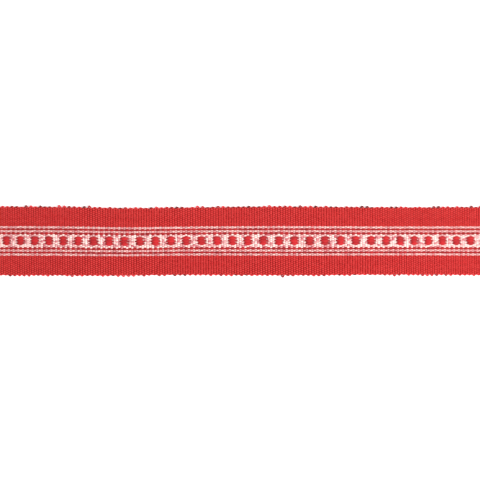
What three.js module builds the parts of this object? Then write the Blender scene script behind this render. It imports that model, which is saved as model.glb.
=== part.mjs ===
// A cut length of patterned woven tape trim, lying flat with its face up.
// Millimetres: X runs along the tape, Y across it and Z up. The origin is the middle of the flat underside.
// The cloth is one warp-faced band. Each weft pick raises a rib across it, the weft turns in a small loop
// at the selvedge after every pick, and pads of long warp floats stand up in a row along the middle.

import * as THREE from 'three';

// Driving dimensions
const TAPE_WIDTH = 38;
const TAPE_THICKNESS = 1.9;
const PICK_PITCH = 1.43;
const PICKS_PER_DOT = 6;
const DOT_COUNT = 36;
const DOT_AT_PICK = 2.5;

// The weave is beaten a little closer past these two places along the tape
const CLOSER_LEFT = { at: -98, share: 0.084 };
const CLOSER_RIGHT = { at: 77, share: 0.09 };
const BEAT_CHANGE = 4;

// The tape lies nearly straight: one soft sidestep, and a width that comes and goes
const SIDESTEP = { at: -64, reach: 27, aside: -0.45 };
const WIDTH_WAVE = { widest: -115, length: 140, rise: 0.2 };

// The face: ribs, and the float pads between the striped borders
const RIB_DEPTH = 0.3;
const BORDER_HALF_WIDTH = 8.1;
const DOT_HALF_WIDTH = 2.6;
const DOT_HALF_LENGTH = 1.75;
const DOT_RISE = 0.12;

// The selvedges: how far the face and the underside stop short of the edge, and the weft loops
const FACE_INSET = 0.8;
const UNDERSIDE_INSET = 0.6;
const SHOULDER_DROP = 0.3;
const LOOP_LEAST = 0.35;
const LOOP_SPREAD = 0.75;
const LOOP_MEAN = LOOP_LEAST + LOOP_SPREAD / 2;
const PICKS_PER_LOOP = 2;

const PICK_COUNT = DOT_COUNT * PICKS_PER_DOT;
const STEPS_PER_PICK = 2;
const HALF_WIDTH = TAPE_WIDTH / 2;
const FULL_TURN = 2 * Math.PI;
const ROUNDING = 0.01;

// Rises from 0 to the distance itself, with a soft change around 0.
function softRamp(distance) {
  return BEAT_CHANGE * Math.log1p(Math.exp(distance / BEAT_CHANGE));
}

// X of a pick number in an even weave, drawn in past the two places where the beat is closer.
function beatenPlace(pick) {
  const even = (pick - PICK_COUNT / 2) * PICK_PITCH;
  const drawnRight = CLOSER_LEFT.share * softRamp(CLOSER_LEFT.at - even);
  const drawnLeft = CLOSER_RIGHT.share * softRamp(even - CLOSER_RIGHT.at);
  return even + drawnRight - drawnLeft;
}

const MIDDLE = (beatenPlace(0) + beatenPlace(PICK_COUNT)) / 2;

// X of a pick number, counted from the left cut end.
function along(pick) {
  return beatenPlace(pick) - MIDDLE;
}

// Y of the tape's own middle line at X.
function sidestep(x) {
  return SIDESTEP.aside * Math.exp(-(((x - SIDESTEP.at) / SIDESTEP.reach) ** 2));
}

// How far each selvedge lies further out than its mean at X.
function widening(x) {
  return WIDTH_WAVE.rise * Math.cos((FULL_TURN * (x - WIDTH_WAVE.widest)) / WIDTH_WAVE.length);
}

// A share from 0 to 1 that differs from loop to loop in no order.
function uneven(loop, side) {
  const scattered = Math.sin(loop * 12.9898 + side * 78.233) * 43758.5453;
  return scattered - Math.floor(scattered);
}

// How far the weft loop at this pick stands out of the selvedge. The two sides turn at alternate picks.
function loopReach(pick, side) {
  const turn = side > 0 ? pick : pick + 1;
  const loop = Math.floor(turn / PICKS_PER_LOOP);
  const reach = LOOP_LEAST + LOOP_SPREAD * uneven(loop, side);
  return reach * (0.5 - 0.5 * Math.cos((FULL_TURN * turn) / PICKS_PER_LOOP));
}

// 1 on the crown of a rib, 0 in the groove between two picks.
function ribCrown(pick) {
  return 0.5 - 0.5 * Math.cos(FULL_TURN * pick);
}

// 1 in the middle of a float pad, on the third rib of every six, falling to 0 at its ends.
function dotCrown(pick) {
  const fromDot = (pick % PICKS_PER_DOT) - DOT_AT_PICK;
  const share = Math.max(0, 1 - (fromDot / DOT_HALF_LENGTH) ** 2);
  return Math.sqrt(share);
}

// The plain cross-section, with points where the face changes: borders, pads, shoulders and selvedges.
const FACE_EDGE = HALF_WIDTH - FACE_INSET;
const UNDERSIDE_EDGE = HALF_WIDTH - UNDERSIDE_INSET;
const MID_HEIGHT = TAPE_THICKNESS / 2;

const section = new THREE.Shape();
section.moveTo(-UNDERSIDE_EDGE, 0);
section.lineTo(UNDERSIDE_EDGE, 0);
section.lineTo(HALF_WIDTH, MID_HEIGHT);
section.lineTo(FACE_EDGE, TAPE_THICKNESS);
section.lineTo(BORDER_HALF_WIDTH, TAPE_THICKNESS);
section.lineTo(DOT_HALF_WIDTH, TAPE_THICKNESS);
section.lineTo(0, TAPE_THICKNESS);
section.lineTo(-DOT_HALF_WIDTH, TAPE_THICKNESS);
section.lineTo(-BORDER_HALF_WIDTH, TAPE_THICKNESS);
section.lineTo(-FACE_EDGE, TAPE_THICKNESS);
section.lineTo(-HALF_WIDTH, MID_HEIGHT);
section.closePath();

// True for the section's points on the shoulders, the selvedges and the underside's edges.
function nearEdge(across) {
  return Math.abs(across) > FACE_EDGE - ROUNDING;
}

// Height of the face over a plain point of the section: ribs all over, and pads along the middle.
function faceHeight(pick, across) {
  const groove = RIB_DEPTH * (1 - ribCrown(pick));
  if (across === 0) {
    return TAPE_THICKNESS - groove * (1 - dotCrown(pick)) + DOT_RISE * dotCrown(pick);
  }
  const shoulder = nearEdge(across) ? SHOULDER_DROP : 0;
  return TAPE_THICKNESS - groove - shoulder;
}

// Y over a plain point of the section: the edges follow the width and the loops, the rest only the sidestep.
function sideways(pick, across) {
  const x = along(pick);
  const side = Math.sign(across);
  const out = nearEdge(across) ? widening(x) + loopReach(pick, side) - LOOP_MEAN / 2 : 0;
  return sidestep(x) + across + side * out;
}

// The section carried along the tape, half a pick a step, with its points moved into the weave's relief.
function weaveTape() {
  const geometry = new THREE.ExtrudeGeometry(section, {
    depth: PICK_COUNT,
    steps: PICK_COUNT * STEPS_PER_PICK,
    bevelEnabled: false,
  });
  const points = geometry.getAttribute('position');
  for (let i = 0; i < points.count; i += 1) {
    const across = points.getX(i);
    const height = points.getY(i);
    const pick = points.getZ(i);
    const onFace = height > MID_HEIGHT + ROUNDING;
    points.setXYZ(
      i,
      along(pick),
      sideways(pick, across),
      onFace ? faceHeight(pick, across) : height,
    );
  }
  geometry.computeBoundingBox();
  const middle = geometry.boundingBox.getCenter(new THREE.Vector3());
  geometry.translate(-middle.x, -middle.y, 0);
  geometry.computeVertexNormals();
  return geometry;
}

const redCotton = new THREE.MeshStandardMaterial({ color: 0xcb3735, roughness: 0.9, metalness: 0 });
const tape = new THREE.Mesh(weaveTape(), redCotton);
tape.name = 'woven_tape';

const trim = new THREE.Group();
trim.add(tape);

export default trim;
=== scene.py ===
import bpy
import numpy as np
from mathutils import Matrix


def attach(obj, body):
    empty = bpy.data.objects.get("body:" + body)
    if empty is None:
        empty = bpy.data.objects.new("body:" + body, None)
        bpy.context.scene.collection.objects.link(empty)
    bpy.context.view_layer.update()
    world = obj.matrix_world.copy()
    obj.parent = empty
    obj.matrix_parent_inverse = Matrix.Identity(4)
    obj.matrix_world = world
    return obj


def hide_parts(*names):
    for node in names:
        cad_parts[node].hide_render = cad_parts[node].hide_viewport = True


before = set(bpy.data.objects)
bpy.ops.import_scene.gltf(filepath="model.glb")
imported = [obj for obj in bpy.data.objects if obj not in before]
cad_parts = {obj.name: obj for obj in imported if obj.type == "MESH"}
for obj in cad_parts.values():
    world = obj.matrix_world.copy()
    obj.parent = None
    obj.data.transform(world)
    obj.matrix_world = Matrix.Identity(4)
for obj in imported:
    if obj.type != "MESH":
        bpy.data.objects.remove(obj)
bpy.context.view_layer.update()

# The weft: one thick red cotton cord that lies across the tape in every pick and turns back at the
# selvedge, where its turns show as a row of small uneven loops. All the warp ends bind it. Sizes here are
# millimetres: X runs along the tape, Y across it, and the underside lies at Z = 0.
MM = 0.001
TAPE_WIDTH = 38.0
MID_HEIGHT = 1.0
PICK_PITCH = 1.43
PICKS_PER_DOT = 6
DOT_COUNT = 36
PICK_COUNT = DOT_COUNT * PICKS_PER_DOT

CLOSER_LEFT_AT, CLOSER_LEFT_SHARE = -98.0, 0.084
CLOSER_RIGHT_AT, CLOSER_RIGHT_SHARE = 77.0, 0.09
BEAT_CHANGE = 4.0
SIDESTEP_AT, SIDESTEP_REACH, SIDESTEP_ASIDE = -64.0, 27.0, -0.45
WIDEST_AT, WIDTH_WAVE_LENGTH, WIDTH_WAVE_RISE = -115.0, 140.0, 0.2
LOOP_LEAST, LOOP_SPREAD = 0.35, 0.75
LAST_END_OUT = TAPE_WIDTH / 2 - (LOOP_LEAST + LOOP_SPREAD / 2) / 2
PICK_SHIFT, PICK_TILT, PICK_SLANT = 0.05, 0.004, -0.0068


def beaten_place(pick):
    """X of a pick number in an even weave, less a soft ramp past each place where the beat is closer.
    The ramp is log(1 + exp(distance)), which rises from 0 to the distance itself."""
    even = (pick - PICK_COUNT / 2) * PICK_PITCH
    left = BEAT_CHANGE * np.logaddexp(0, (CLOSER_LEFT_AT - even) / BEAT_CHANGE)
    right = BEAT_CHANGE * np.logaddexp(0, (even - CLOSER_RIGHT_AT) / BEAT_CHANGE)
    return even + CLOSER_LEFT_SHARE * left - CLOSER_RIGHT_SHARE * right


def along(pick):
    """X of a pick number, counted from the left cut end, with the two cut ends the same way out."""
    return beaten_place(pick) - (beaten_place(0) + beaten_place(PICK_COUNT)) / 2


def eased(knots, place):
    """Values of a row of knots at fractional places, eased from one to the next by 3 f^2 - 2 f^3."""
    before = np.floor(place).astype(int)
    f = place - before
    share = f * f * (3 - 2 * f)
    return knots[before] * (1 - share) + knots[before + 1] * share


pick_random = np.random.default_rng(5)
pick_shifts = pick_random.uniform(-PICK_SHIFT, PICK_SHIFT, PICK_COUNT + 4)
pick_tilts = PICK_SLANT + pick_random.uniform(-PICK_TILT, PICK_TILT, PICK_COUNT + 4)


def woven_x(pick, y):
    """X at a pick number and a level Y: its even place, and a shift and a tilt that differ a little from
    pick to pick."""
    return along(pick) + eased(pick_shifts, pick + 1) + y * eased(pick_tilts, pick + 1)


def sidestep(x):
    """Y of the tape's middle line: one soft bell-shaped step aside."""
    return SIDESTEP_ASIDE * np.exp(-(((x - SIDESTEP_AT) / SIDESTEP_REACH) ** 2))


def widening(x):
    """How far each selvedge lies further out than its mean: a cosine along the tape."""
    return WIDTH_WAVE_RISE * np.cos(2 * np.pi * (x - WIDEST_AT) / WIDTH_WAVE_LENGTH)


def loop_reach(loop, side):
    """How far a weft loop stands out of the selvedge: the least reach, and a scattered share of the rest."""
    scattered = np.sin(loop * 12.9898 + side * 78.233) * 43758.5453
    return LOOP_LEAST + LOOP_SPREAD * (scattered - np.floor(scattered))


def outline_middle():
    """Y halfway between the outermost loops of the two selvedges, which the frame puts at Y = 0."""
    picks = np.arange(PICK_COUNT + 1)
    x = along(picks)
    upper = np.where(picks % 2 == 1, loop_reach(picks // 2, 1), 0)
    lower = np.where(picks % 2 == 0, loop_reach((picks + 1) // 2, -1), 0)
    top = sidestep(x) + LAST_END_OUT + widening(x) + upper
    bottom = sidestep(x) - LAST_END_OUT - widening(x) - lower
    return (top.max() + bottom.min()) / 2


OUTLINE_MIDDLE = outline_middle()


def spun(name, centres, wide, high, sides, tint, material):
    """A mesh of yarns. centres is an array (yarns, rings, 3), and wide and high are half sizes (yarns,
    rings). A ring's points are centre + level * wide * cos(a) + lift * high * sin(a), where level is flat
    and square to the run and lift is square to both. The UV map 'run' is millimetres along and one turn
    round."""
    yarns, rings, _ = centres.shape
    run = np.gradient(centres, axis=1)
    run /= np.linalg.norm(run, axis=2, keepdims=True)
    level = np.stack([-run[..., 1], run[..., 0], np.zeros_like(run[..., 0])], axis=2)
    level /= np.linalg.norm(level, axis=2, keepdims=True)
    lift = np.cross(run, level)
    angle = np.arange(sides) * 2 * np.pi / sides
    points = (
        centres[:, :, None]
        + level[:, :, None] * wide[..., None, None] * np.cos(angle)[:, None]
        + lift[:, :, None] * high[..., None, None] * np.sin(angle)[:, None]
    )
    points[..., 1] -= OUTLINE_MIDDLE

    grid = np.arange(yarns * rings * sides).reshape(yarns, rings, sides)
    here, there = grid[:, :-1], grid[:, 1:]
    quads = np.stack([here, np.roll(here, -1, 2), np.roll(there, -1, 2), there], axis=3)
    starts, stops = grid[:, 0, ::-1], grid[:, -1]
    corners = np.concatenate([quads.ravel(), starts.ravel(), stops.ravel()])
    sizes = np.concatenate([np.full(quads[..., 0].size, 4), np.full(2 * yarns, sides)])

    step = np.linalg.norm(np.diff(centres, axis=1), axis=2)
    travelled = np.concatenate([np.zeros((yarns, 1)), np.cumsum(step, axis=1)], axis=1)
    from_u, to_u = (np.repeat(t[:, :, None], sides, 2) for t in (travelled[:, :-1], travelled[:, 1:]))
    from_v = np.broadcast_to(np.arange(sides) / sides, from_u.shape)
    to_v = from_v + 1 / sides
    quad_uv = np.stack([from_u, from_v, from_u, to_v, to_u, to_v, to_u, from_v], axis=3)
    cap_uv = np.zeros(4 * yarns * sides)

    mesh = bpy.data.meshes.new(name)
    mesh.vertices.add(grid.size)
    mesh.vertices.foreach_set("co", (points * MM).ravel())
    mesh.loops.add(len(corners))
    mesh.loops.foreach_set("vertex_index", corners)
    mesh.polygons.add(len(sizes))
    mesh.polygons.foreach_set("loop_start", np.concatenate([[0], np.cumsum(sizes)[:-1]]))
    mesh.polygons.foreach_set("use_smooth", sizes == 4)
    mesh.uv_layers.new(name="run").data.foreach_set("uv", np.concatenate([quad_uv.ravel(), cap_uv]))
    shade = mesh.attributes.new("tint", "FLOAT", "POINT")
    shade.data.foreach_set("value", np.repeat(tint.ravel(), sides))
    mesh.update(calc_edges=True)
    mesh.materials.append(material)
    piece = bpy.data.objects.new(name, mesh)
    bpy.context.scene.collection.objects.link(piece)
    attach(piece, "root")
    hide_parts("woven_tape")
    return piece


class Wire:
    """An output in a material's node tree. Sums and products of wires and numbers add Math nodes."""

    def __init__(self, tree, socket=None):
        self.tree = tree
        self.socket = socket

    def add(self, kind, settings, values, out=0):
        """Any node, from its type, its settings, its inputs' values or wires, and the wanted output."""
        node = self.tree.nodes.new(kind)
        for name, value in settings.items():
            setattr(node, name, value)
        for name, value in values.items():
            if isinstance(value, Wire):
                self.tree.links.new(value.socket, node.inputs[name])
            else:
                node.inputs[name].default_value = value
        return Wire(self.tree, node.outputs[out])

    def maths(self, operation, *values):
        return self.add("ShaderNodeMath", {"operation": operation}, dict(enumerate(values)))

    def __add__(self, other):
        return self.maths("ADD", self, other)

    def __radd__(self, other):
        return self.maths("ADD", other, self)

    def __sub__(self, other):
        return self.maths("SUBTRACT", self, other)

    def __rsub__(self, other):
        return self.maths("SUBTRACT", other, self)

    def __mul__(self, other):
        return self.maths("MULTIPLY", self, other)

    def __rmul__(self, other):
        return self.maths("MULTIPLY", other, self)

    def __truediv__(self, other):
        return self.maths("DIVIDE", self, other)

    def __pow__(self, other):
        return self.maths("POWER", self, other)


PLY_GROOVE_PAINTED_SHADE, BETWEEN_FIBRES_DEEP, SLUB_DEEP = 0.35, 0.3, 0.1
PLY_HIGH, FIBRE_HIGH, FINISH_HIGH = 0.7, 0.5, 0.05
DULL, FIBRE_GLOSS = 0.75, 0.25


def cotton(name, pale, deep, plies, ply_length):
    """Plied cotton. Plies wind round the yarn, lower where two meet, under fine fibres that run with them.
    Where two plies meet the colour is deeper: painted shade in the crease between them. pale and deep are
    the colours of a light crown and of a groove darkened by painted shade, and ply_length is one turn of the
    plies in millimetres."""
    material = bpy.data.materials.new(name)
    material.use_nodes = True
    tree = material.node_tree
    shader = tree.nodes["Principled BSDF"]
    start = Wire(tree)

    place = start.add("ShaderNodeUVMap", {"uv_map": "run"}, {})
    run = start.add("ShaderNodeSeparateXYZ", {}, {"Vector": place}, "X")
    turn = start.add("ShaderNodeSeparateXYZ", {}, {"Vector": place}, "Y")
    tint = start.add("ShaderNodeAttribute", {"attribute_name": "tint"}, {}, "Fac")

    wound = turn * plies + run / ply_length
    off_crown = wound.maths("FRACT", wound) * 2 - 1
    groove = off_crown.maths("ABSOLUTE", off_crown) ** 3
    fibre_place = start.add("ShaderNodeCombineXYZ", {}, {"X": run * 0.6, "Y": wound * 5, "Z": tint * 40})
    fibre = start.add(
        "ShaderNodeTexNoise",
        {"noise_dimensions": "3D"},
        {"Vector": fibre_place, "Scale": 1.6, "Detail": 3.0, "Roughness": 0.6},
        "Fac",
    )
    where = start.add("ShaderNodeTexCoord", {}, {}, "Object")
    slub = start.add(
        "ShaderNodeTexNoise",
        {"noise_dimensions": "3D"},
        {"Vector": where, "Scale": 260.0, "Detail": 2.0, "Roughness": 0.5},
        "Fac",
    )

    # Painted shade: the colour goes deeper in the ply grooves and with the tint attribute, which holds
    # painted shade from the weave as well as random tone. The fibre and slub noise are random tone.
    shade_and_tone = groove * PLY_GROOVE_PAINTED_SHADE + (1 - fibre) * BETWEEN_FIBRES_DEEP + (0.5 - slub) * SLUB_DEEP
    shade_and_tone = shade_and_tone + tint - 0.25
    colour = start.add(
        "ShaderNodeMix",
        {"data_type": "RGBA", "blend_type": "MIX", "clamp_factor": True},
        {"Factor": shade_and_tone, "A": (*pale, 1), "B": (*deep, 1)},
        "Result",
    )
    height = (1 - groove) * PLY_HIGH + fibre * FIBRE_HIGH
    bump = start.add(
        "ShaderNodeBump", {}, {"Strength": 0.6, "Distance": FINISH_HIGH * MM, "Height": height}, "Normal"
    )
    tree.links.new(colour.socket, shader.inputs["Base Color"])
    tree.links.new(bump.socket, shader.inputs["Normal"])
    tree.links.new((DULL - fibre * FIBRE_GLOSS).socket, shader.inputs["Roughness"])
    shader.inputs["Specular IOR Level"].default_value = 0.25
    shader.inputs["Sheen Weight"].default_value = 0.02
    shader.inputs["Sheen Roughness"].default_value = 0.5
    return material


WEFT_HALF_THICK = 0.48
LOOP_HALF_THICK = 0.42
LOOP_ROOT = 0.3
LOOP_PINCH = 0.2
LOOP_SLACK = 0.6
WEFT_TINT = 0.5
LOOP_SHADE_LEAST, LOOP_SHADE_SPREAD = 0.05, 0.95
ACROSS_SHARES = np.array([-0.98, -0.5, 0.0, 0.5, 0.98])
TURN_ANGLES = np.radians([-80, -55, -28, 0, 28, 55, 80])

weft_cotton = cotton("weft_cotton", (0.72, 0.03, 0.04), (0.10, 0.006, 0.005), 2, 0.95)


def weft_path():
    """(1, rings, 3) and tints. A pick goes straight across at its own X, the other way every time. A turn
    is half an ellipse that is pinched towards its tip: its X goes with the sine of its angle, and its Y with
    the cosine, out to the loop's own reach and a little slack, which is large in a few."""
    pick = np.arange(PICK_COUNT)[:, None]
    side = np.where(pick % 2 == 0, 1, -1)
    at = along(pick + 0.5)
    inner = LAST_END_OUT + widening(at) - LOOP_ROOT
    y = side * inner * ACROSS_SHARES
    straight = np.stack([woven_x(pick + 0.5, y), sidestep(at) + y, np.full(y.shape, MID_HEIGHT)], axis=2)

    turn = pick + 1
    at = along(turn)
    loop = np.where(side > 0, turn // 2, (turn + 1) // 2)
    root = LAST_END_OUT + widening(at) - LOOP_ROOT
    slack = LOOP_SLACK * pick_random.uniform(0, 1, (PICK_COUNT, 1)) ** 3
    out = loop_reach(loop, side) + slack - LOOP_HALF_THICK + LOOP_ROOT
    y = side * (root + out * np.cos(TURN_ANGLES))
    turned = turn + 0.5 * np.sin(TURN_ANGLES) * (1 - LOOP_PINCH * np.cos(TURN_ANGLES))
    turns = np.stack([woven_x(turned, y), sidestep(at) + y, np.full(y.shape, MID_HEIGHT)], axis=2)

    # Painted shade: the loops are painted darker by random amounts, most a little and a few much, as shade
    # where their tips curve down.
    loop_painted_shades = LOOP_SHADE_LEAST + LOOP_SHADE_SPREAD * pick_random.uniform(0, 1, (PICK_COUNT, 1)) ** 1.5
    plain = np.full(straight.shape[:2], WEFT_TINT)
    tint = np.concatenate([plain, np.repeat(loop_painted_shades, len(TURN_ANGLES), 1)], axis=1).reshape(1, -1)
    centres = np.concatenate([straight, turns], axis=1).reshape(1, -1, 3)
    kept = tint.size - len(TURN_ANGLES)
    return centres[:, :kept], tint[:, :kept]


weft_centres, weft_tint = weft_path()
near_edge = np.clip(np.abs(weft_centres[..., 1]) - (LAST_END_OUT - 1), 0, 1)
weft_half_thick = WEFT_HALF_THICK + (LOOP_HALF_THICK - WEFT_HALF_THICK) * near_edge
weft = spun("weft", weft_centres, weft_half_thick, weft_half_thick, 8, weft_tint, weft_cotton)


# The ground warp: red cotton ends that run the length of the tape above and below the stripes, packed so
# close that they hide the weft. Each goes over one pick and under the next, against its neighbours. The
# ends are numbered from the upper selvedge, with the lines' and the middle's ends in between.
red_cotton = cotton("red_cotton", (0.565, 0.031, 0.029), (0.43, 0.001, 0.001), 2, 1.3)

GROUND_ENDS, LINE_COUNT, MIDDLE_ENDS = 19, 4, 14
LINE_PITCH = 1.1
MIDDLE_HALF = 3.665
PATTERN_ASIDE = 0.12
CROWN = 0.68
CROWN_HALF_WIDE = 0.5
CROSSING_HALF_WIDE = 0.31
END_HALF_THICK = 0.22
RING_SHARES = np.array([0, 0.22, 0.78])
RING_UNEVEN = 0.08
TAIL_LEAST, TAIL_MOST = 0.12, 0.42
LEVEL_UNEVEN = 0.03
CROWN_UNEVEN = 0.03
FULLNESS_BY_FLOAT, FULLNESS_DRIFT, THICKNESS_DRIFT = 0.08, 0.04, 0.06
YARN_TINT, OWN_TINT = 0.2, 0.06
DOT_AT = 2.5
DOT_HALF_LENGTHS = np.array([2.1, 2.3, 2.1])
DOT_HALF_LENGTH = DOT_HALF_LENGTHS.mean()
DOT_ASIDE = PATTERN_ASIDE + 0.1
DOT_HALF_WIDTH = 2.5
DOT_ENDS_APART = 1.47
DOT_END_LEVELS = DOT_ASIDE + DOT_ENDS_APART * np.array([1, 0, -1])
PRESSED = 0.28
OPENING, OPENING_REACH, OPENING_LENGTH = 0.16, 0.5, 0.5
RED_LINES = np.array([20, 22, 37, 39])
CLOSING, CLOSING_ENDS, CLOSING_LENGTH = 0.17, 0.6, 0.3

SECTION_ENDS = np.array([GROUND_ENDS, LINE_COUNT, MIDDLE_ENDS, LINE_COUNT, GROUND_ENDS])
SECTION_STARTS = np.concatenate([[0], np.cumsum(SECTION_ENDS)])
LINES_OUT = MIDDLE_HALF + LINE_COUNT * LINE_PITCH
SECTION_LEVELS = PATTERN_ASIDE + np.array([LINES_OUT, MIDDLE_HALF, -MIDDLE_HALF, -LINES_OUT])
SECTION_LEVELS = np.concatenate([[LAST_END_OUT], SECTION_LEVELS, [-LAST_END_OUT]])


def wander(random, t, every, reach):
    """A soft random drift of each yarn along its picks t, with a new value every few picks."""
    width = int(PICK_COUNT / every) + 5
    knots = random.uniform(-reach, reach, len(t) * width)
    place = np.clip(t, -0.9, PICK_COUNT + 0.9) / every + 1
    return eased(knots, place + width * np.arange(len(t))[:, None])


def by_float(random, t, reach):
    """A random value for each pick of each yarn, the same all along that float."""
    values = random.uniform(-reach, reach, (len(t), PICK_COUNT + 3))
    return values[np.arange(len(t))[:, None], np.floor(t).astype(int) + 1]


def from_dot(t):
    """Picks from the nearest dot's middle, below 0 before it."""
    return (t - DOT_AT + PICKS_PER_DOT / 2) % PICKS_PER_DOT - PICKS_PER_DOT / 2


def ring_places(random, yarns, shares):
    """Pick numbers of the rings, (yarns, rings): the same shares of every pick, and a short cut tail past
    each end."""
    inside = np.append((np.arange(PICK_COUNT)[:, None] + shares).ravel(), PICK_COUNT)
    inside = np.broadcast_to(inside, (yarns, len(inside)))
    tails = random.uniform(TAIL_LEAST, TAIL_MOST, (2, yarns, 1))
    return np.concatenate([-tails[0], inside, PICK_COUNT + tails[1]], axis=1)


def from_dip(t, end):
    """Picks from the middle of the nearest pick that an end lies under, below 0 before it."""
    return (t + end + 0.5) % 2 - 1


def laid_ends(random, ends, t):
    """X, Y and the level of numbered ends. Where a dot's end dives between them the ends open, and where a
    red line dips its neighbours close in: Y moves by a bell along the tape times a falling exponential
    across it."""
    level = np.interp(ends + 0.5, SECTION_STARTS, SECTION_LEVELS)[:, None]
    x = woven_x(t + random.uniform(-RING_UNEVEN, RING_UNEVEN, t.shape), level)
    y = level * (1 + widening(x) / LAST_END_OUT) + sidestep(x)
    y = y + wander(random, t, 1, LEVEL_UNEVEN) + wander(random, t, 7, LEVEL_UNEVEN)
    for dot_level in DOT_END_LEVELS:
        away = level - dot_level
        bell = np.exp(-(((np.abs(from_dot(t)) - DOT_HALF_LENGTH) / OPENING_LENGTH) ** 2))
        y = y + OPENING * np.sign(away) * np.exp(-np.abs(away) / OPENING_REACH) * bell
    for line in RED_LINES:
        away = ends[:, None] - line
        bell = np.exp(-((from_dip(t, line) / CLOSING_LENGTH) ** 2))
        y = y + CLOSING * np.sign(away) * np.exp(-np.abs(away) / CLOSING_ENDS) * bell
    return x, y, level


def warp_ends(name, ends, turns, size, material, seed, groove, uneven, shade=0):
    """Ends in plain weave. An end is at mid height where it crosses between two picks and at its crown's
    height over the middle of a pick, and there the yarn spreads. It is up where the pick and its number in
    turns add up to an odd one. size is a yarn's width as a share of a ground end's. groove is how much
    painted shade darkens it where it crosses, in the groove between picks, uneven how much its floats differ
    in tone at random, and shade how much deeper the whole yarn is."""
    random = np.random.default_rng(seed)
    ends, turns = np.asarray(ends), np.asarray(turns)
    t = ring_places(random, len(ends), RING_SHARES)
    x, y, level = laid_ends(random, ends, t)

    pick = np.floor(t)
    up = np.where((pick + turns[:, None]) % 2 == 1, 1, -1)
    arch = np.clip(np.minimum(t - pick, pick + 1 - t) / RING_SHARES[1], 0, 1)
    under_dot = np.clip((DOT_HALF_WIDTH - np.abs(level - DOT_ASIDE)) * 2, 0, 1)
    covered = np.clip(0.5 - 2 * (np.abs(from_dot(t)) - DOT_HALF_LENGTH), 0, 1)
    pressed = PRESSED * under_dot * np.where(up > 0, covered, 1 - covered)
    z = MID_HEIGHT + (CROWN - pressed + by_float(random, t, CROWN_UNEVEN)) * up * arch

    own_size = np.broadcast_to(size, len(ends))[:, None]
    drift = by_float(random, t, FULLNESS_BY_FLOAT) + wander(random, t, 9, FULLNESS_DRIFT)
    fullness = own_size * (1 + drift)
    wide = (CROSSING_HALF_WIDE + (CROWN_HALF_WIDE - CROSSING_HALF_WIDE) * arch) * fullness
    high = END_HALF_THICK * (1 + wander(random, t, 2, THICKNESS_DRIFT))
    own = random.uniform(-OWN_TINT, OWN_TINT, (len(ends), 1)) + np.broadcast_to(shade, len(ends))[:, None]
    # Painted shade: groove * (1 - arch) darkens each end where it crosses between picks, in the groove.
    tint = YARN_TINT + groove * (1 - arch) + by_float(random, t, uneven) + own
    piece = spun(name, np.stack([x, y, z], axis=2), wide, high, 8, tint, material)
    return piece


RED_CROSSING_SHADE, RED_UNEVEN = 1.0, 0.2
red_parts = [range(0, 10), range(10, 19), range(41, 50), range(50, 60)]
red_warp = [
    warp_ends(f"red_warp_{i + 1}", ends, ends, 1, red_cotton, 11 + i, RED_CROSSING_SHADE, RED_UNEVEN)
    for i, ends in enumerate(red_parts)
]


# The stripes: fourteen white ends along the middle, woven like the ground, and on each side of them four
# lines, white and red by turns. A white line is three fine ends, the middle one a little thicker. A red
# line is one thick end in long floats, and where it dips under a pick its neighbours close in over it.
white_cotton = cotton("white_cotton", (0.95, 0.66, 0.62), (0.52, 0.08, 0.11), 2, 1.3)

WHITE_CROSSING_SHADE, WHITE_UNEVEN, WHITE_LINE_UNEVEN = 0.15, 0.75, 0.3
white_parts = [range(23, 30), range(30, 37)]
white_warp = [
    warp_ends(
        f"white_warp_{i + 1}",
        ends,
        ends,
        1,
        white_cotton,
        21 + i,
        WHITE_CROSSING_SHADE,
        WHITE_UNEVEN,
    )
    for i, ends in enumerate(white_parts)
]

WHITE_LINES = np.array([19, 21, 38, 40])
FINE_ASIDE = np.array([-1, 0, 1]) / 3
FINE_TURNS = np.array([0, 1, 0])
FINE_SIZES = np.array([0.56, 0.95, 0.56])
FINE_SHADES = np.array([0.2, 0.28, 0.2])
fine_ends = (WHITE_LINES[:, None] + FINE_ASIDE).ravel()
fine_turns = (WHITE_LINES[:, None] + FINE_TURNS).ravel()
white_lines = warp_ends(
    "white_line_warp",
    fine_ends,
    fine_turns,
    np.tile(FINE_SIZES, len(WHITE_LINES)),
    white_cotton,
    23,
    WHITE_CROSSING_SHADE,
    WHITE_LINE_UNEVEN,
    np.tile(FINE_SHADES, len(WHITE_LINES)),
)

line_cotton = cotton("line_cotton", (0.52, 0.018, 0.019), (0.22, 0.003, 0.004), 3, 2.2)

LINE_RING_SHARES = np.array([0, 0.2, 0.34, 0.5, 0.66, 0.8])
LINE_CROWN = 0.64
LINE_HALF_THICK = 0.26
LINE_HALF_WIDE = 0.61
LINE_SPREADS = np.array([0.02, 0.16, 0.2, 0.02])
LINE_BREAK_HALF, LINE_RAMP = 0.19, 0.1
LINE_WIDTH_DRIFT = 0.08
LINE_TINT, LINE_DIP_PAINTED_SHADE, LINE_TINT_DRIFT = 0.65, 0.15, 0.25


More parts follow.
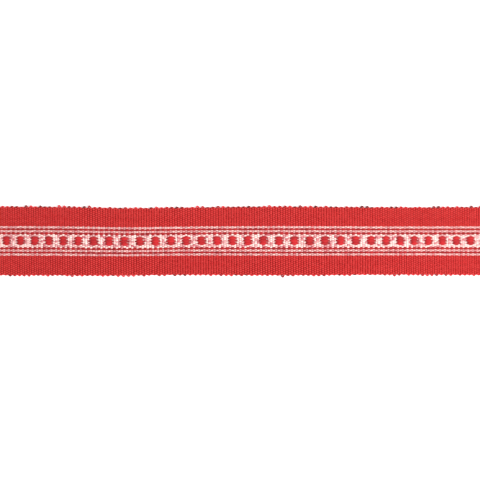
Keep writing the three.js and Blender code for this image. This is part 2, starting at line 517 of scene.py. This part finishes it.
def red_line_ends(name, material, seed):
    """The thick ends of the red lines. Height goes with the distance from the middle of a dip, by a steep
    ramp of a hyperbolic tangent, and the half width swells with a sine over each float."""
    random = np.random.default_rng(seed)
    t = ring_places(random, len(RED_LINES), LINE_RING_SHARES)
    x, y, _ = laid_ends(random, RED_LINES, t)

    off_dip = np.abs(from_dip(t, RED_LINES[:, None]))
    rise = np.tanh((off_dip - LINE_BREAK_HALF) / LINE_RAMP)
    z = MID_HEIGHT + (LINE_CROWN + by_float(random, t, CROWN_UNEVEN)) * rise
    swell = LINE_HALF_WIDE + LINE_SPREADS[:, None] * np.sin(np.pi / 2 * off_dip)
    wide = swell * (1 + wander(random, t, 2, LINE_WIDTH_DRIFT))
    high = np.full(t.shape, LINE_HALF_THICK)
    # Painted shade: the thick end is painted darker where it dips under a pick.
    tint = LINE_TINT + LINE_DIP_PAINTED_SHADE * (1 - rise) + wander(random, t, 2, LINE_TINT_DRIFT)
    piece = spun(name, np.stack([x, y, z], axis=2), wide, high, 8, tint, material)
    return piece


red_lines = red_line_ends("red_line_warp", line_cotton, 24)


# The dots: three thick red ends that float together over the white middle for four picks and then lie
# under it for two. Each float is a lens, and the three close up into one dot.
FLOAT_CROWN, FLOAT_UNDER = 0.86, 0.74
FLOAT_HALF_THICK = 0.24
FLOAT_HALF_WIDE = 0.98
FLOAT_TIP_HALF_WIDE = 0.1
FLOAT_TAPERS = np.array([1.2, 1.0, 1.2])
FLOAT_BOW, FLOAT_BOW_FROM = 0.3, 0.7
FLOAT_DRIFT, FLOAT_LENGTH_DRIFT = 0.06, 0.15
FLOAT_TINT, FLOAT_TIP_PAINTED_SHADE, FLOAT_TINT_DRIFT = 0.2, 1.1, 0.2
DOT_RING_SHARES = np.arange(6) / 6

dot_cotton = cotton("dot_cotton", (0.50, 0.012, 0.016), (0.12, 0.005, 0.007), 4, 2.6)


def dot_ends(name, material, seed):
    """Three thick ends. Over a float's length its height and half width go with powers of a half sine, on
    the face and on the back. The outer two bow away from the middle one where they are widest."""
    random = np.random.default_rng(seed)
    t = ring_places(random, 3, DOT_RING_SHARES)
    level = DOT_END_LEVELS[:, None]
    x = woven_x(t, level)
    y = level + sidestep(x) + wander(random, t, 3, FLOAT_DRIFT)

    length = 2 * DOT_HALF_LENGTHS[:, None]
    into = from_dot(t + wander(random, t, 3, FLOAT_LENGTH_DRIFT)) + length / 2
    on_face = (into >= 0) & (into < length)
    share = np.where(on_face, into / length, (into % PICKS_PER_DOT - length) / (PICKS_PER_DOT - length))
    arch = np.sin(np.pi * np.clip(share, 0, 1))
    z = MID_HEIGHT + np.where(on_face, FLOAT_CROWN, -FLOAT_UNDER) * arch**0.4
    y = y + FLOAT_BOW * np.array([[1], [0], [-1]]) * np.where(on_face, arch - FLOAT_BOW_FROM, 0)
    fullness = 1 + wander(random, t, 3, FLOAT_DRIFT)
    swell = (FLOAT_HALF_WIDE - FLOAT_TIP_HALF_WIDE) * arch ** FLOAT_TAPERS[:, None]
    wide = (FLOAT_TIP_HALF_WIDE + swell) * fullness
    high = FLOAT_HALF_THICK * (0.8 + 0.2 * arch)
    # Painted shade: each float is painted darker towards its tips, where it dives into the cloth.
    tint = FLOAT_TINT + FLOAT_TIP_PAINTED_SHADE * (1 - arch) ** 1.5 + wander(random, t, 3, FLOAT_TINT_DRIFT)
    piece = spun(name, np.stack([x, y, z], axis=2), wide, high, 8, tint, material)
    return piece


dots = dot_ends("dot_warp", dot_cotton, 31)

tape_length = (along(PICK_COUNT) - along(0)) * MM


# The surface under the tape, a plain white lit table top that isn't part of it.
FLOOR_HALF = 1.5
floor_mesh = bpy.data.meshes.new("floor")
floor_corners = [(-FLOOR_HALF, -FLOOR_HALF, 0), (FLOOR_HALF, -FLOOR_HALF, 0)]
floor_corners += [(FLOOR_HALF, FLOOR_HALF, 0), (-FLOOR_HALF, FLOOR_HALF, 0)]
floor_mesh.from_pydata(floor_corners, [], [(0, 1, 2, 3)])
floor = bpy.data.objects.new("floor", floor_mesh)
bpy.context.scene.collection.objects.link(floor)
white_top = bpy.data.materials.new("white_top")
white_top.use_nodes = True
white_top_shader = white_top.node_tree.nodes["Principled BSDF"]
white_top_shader.inputs["Base Color"].default_value = (0.9, 0.9, 0.9, 1)
white_top_shader.inputs["Roughness"].default_value = 0.9
white_top_shader.inputs["Emission Color"].default_value = (1, 1, 1, 1)
white_top_shader.inputs["Emission Strength"].default_value = 0.35
floor_mesh.materials.append(white_top)


# Studio light: an even white sky all round, and one large soft lamp beyond the right-hand end.
world = bpy.data.worlds.new("studio")
world.use_nodes = True
world.node_tree.nodes["Background"].inputs["Color"].default_value = (1, 1, 1, 1)
world.node_tree.nodes["Background"].inputs["Strength"].default_value = 0.8
bpy.context.scene.world = world

lamp = bpy.data.lights.new("soft_lamp", "AREA")
lamp.shape = "DISK"
lamp.size = 0.5
lamp.energy = 18.0
lamp_stand = bpy.data.objects.new("soft_lamp", lamp)
lamp_stand.location = (0.8, -0.3, 0.9)
lamp_stand.rotation_euler = (-lamp_stand.location).to_track_quat("-Z", "Y").to_euler()
bpy.context.scene.collection.objects.link(lamp_stand)


# The camera looks straight down through a long lens, as the photo was taken. It frames 267 mm of the
# tape, so both cut ends lie outside the picture.
PHOTO_WIDE = 480 * TAPE_WIDTH / 68.3
CAMERA_HIGH = 2.0
CAMERA_X = 0.27
CAMERA_Y = 0.6 - OUTLINE_MIDDLE
camera = bpy.data.cameras.new("camera")
camera.sensor_width = 36.0
camera.lens = camera.sensor_width * CAMERA_HIGH / (PHOTO_WIDE * MM)
camera.clip_start = 0.1
camera_stand = bpy.data.objects.new("camera", camera)
camera_stand.location = (CAMERA_X * MM, CAMERA_Y * MM, CAMERA_HIGH)
bpy.context.scene.collection.objects.link(camera_stand)
bpy.context.scene.camera = camera_stand
bpy.context.scene.view_settings.view_transform = "Standard"
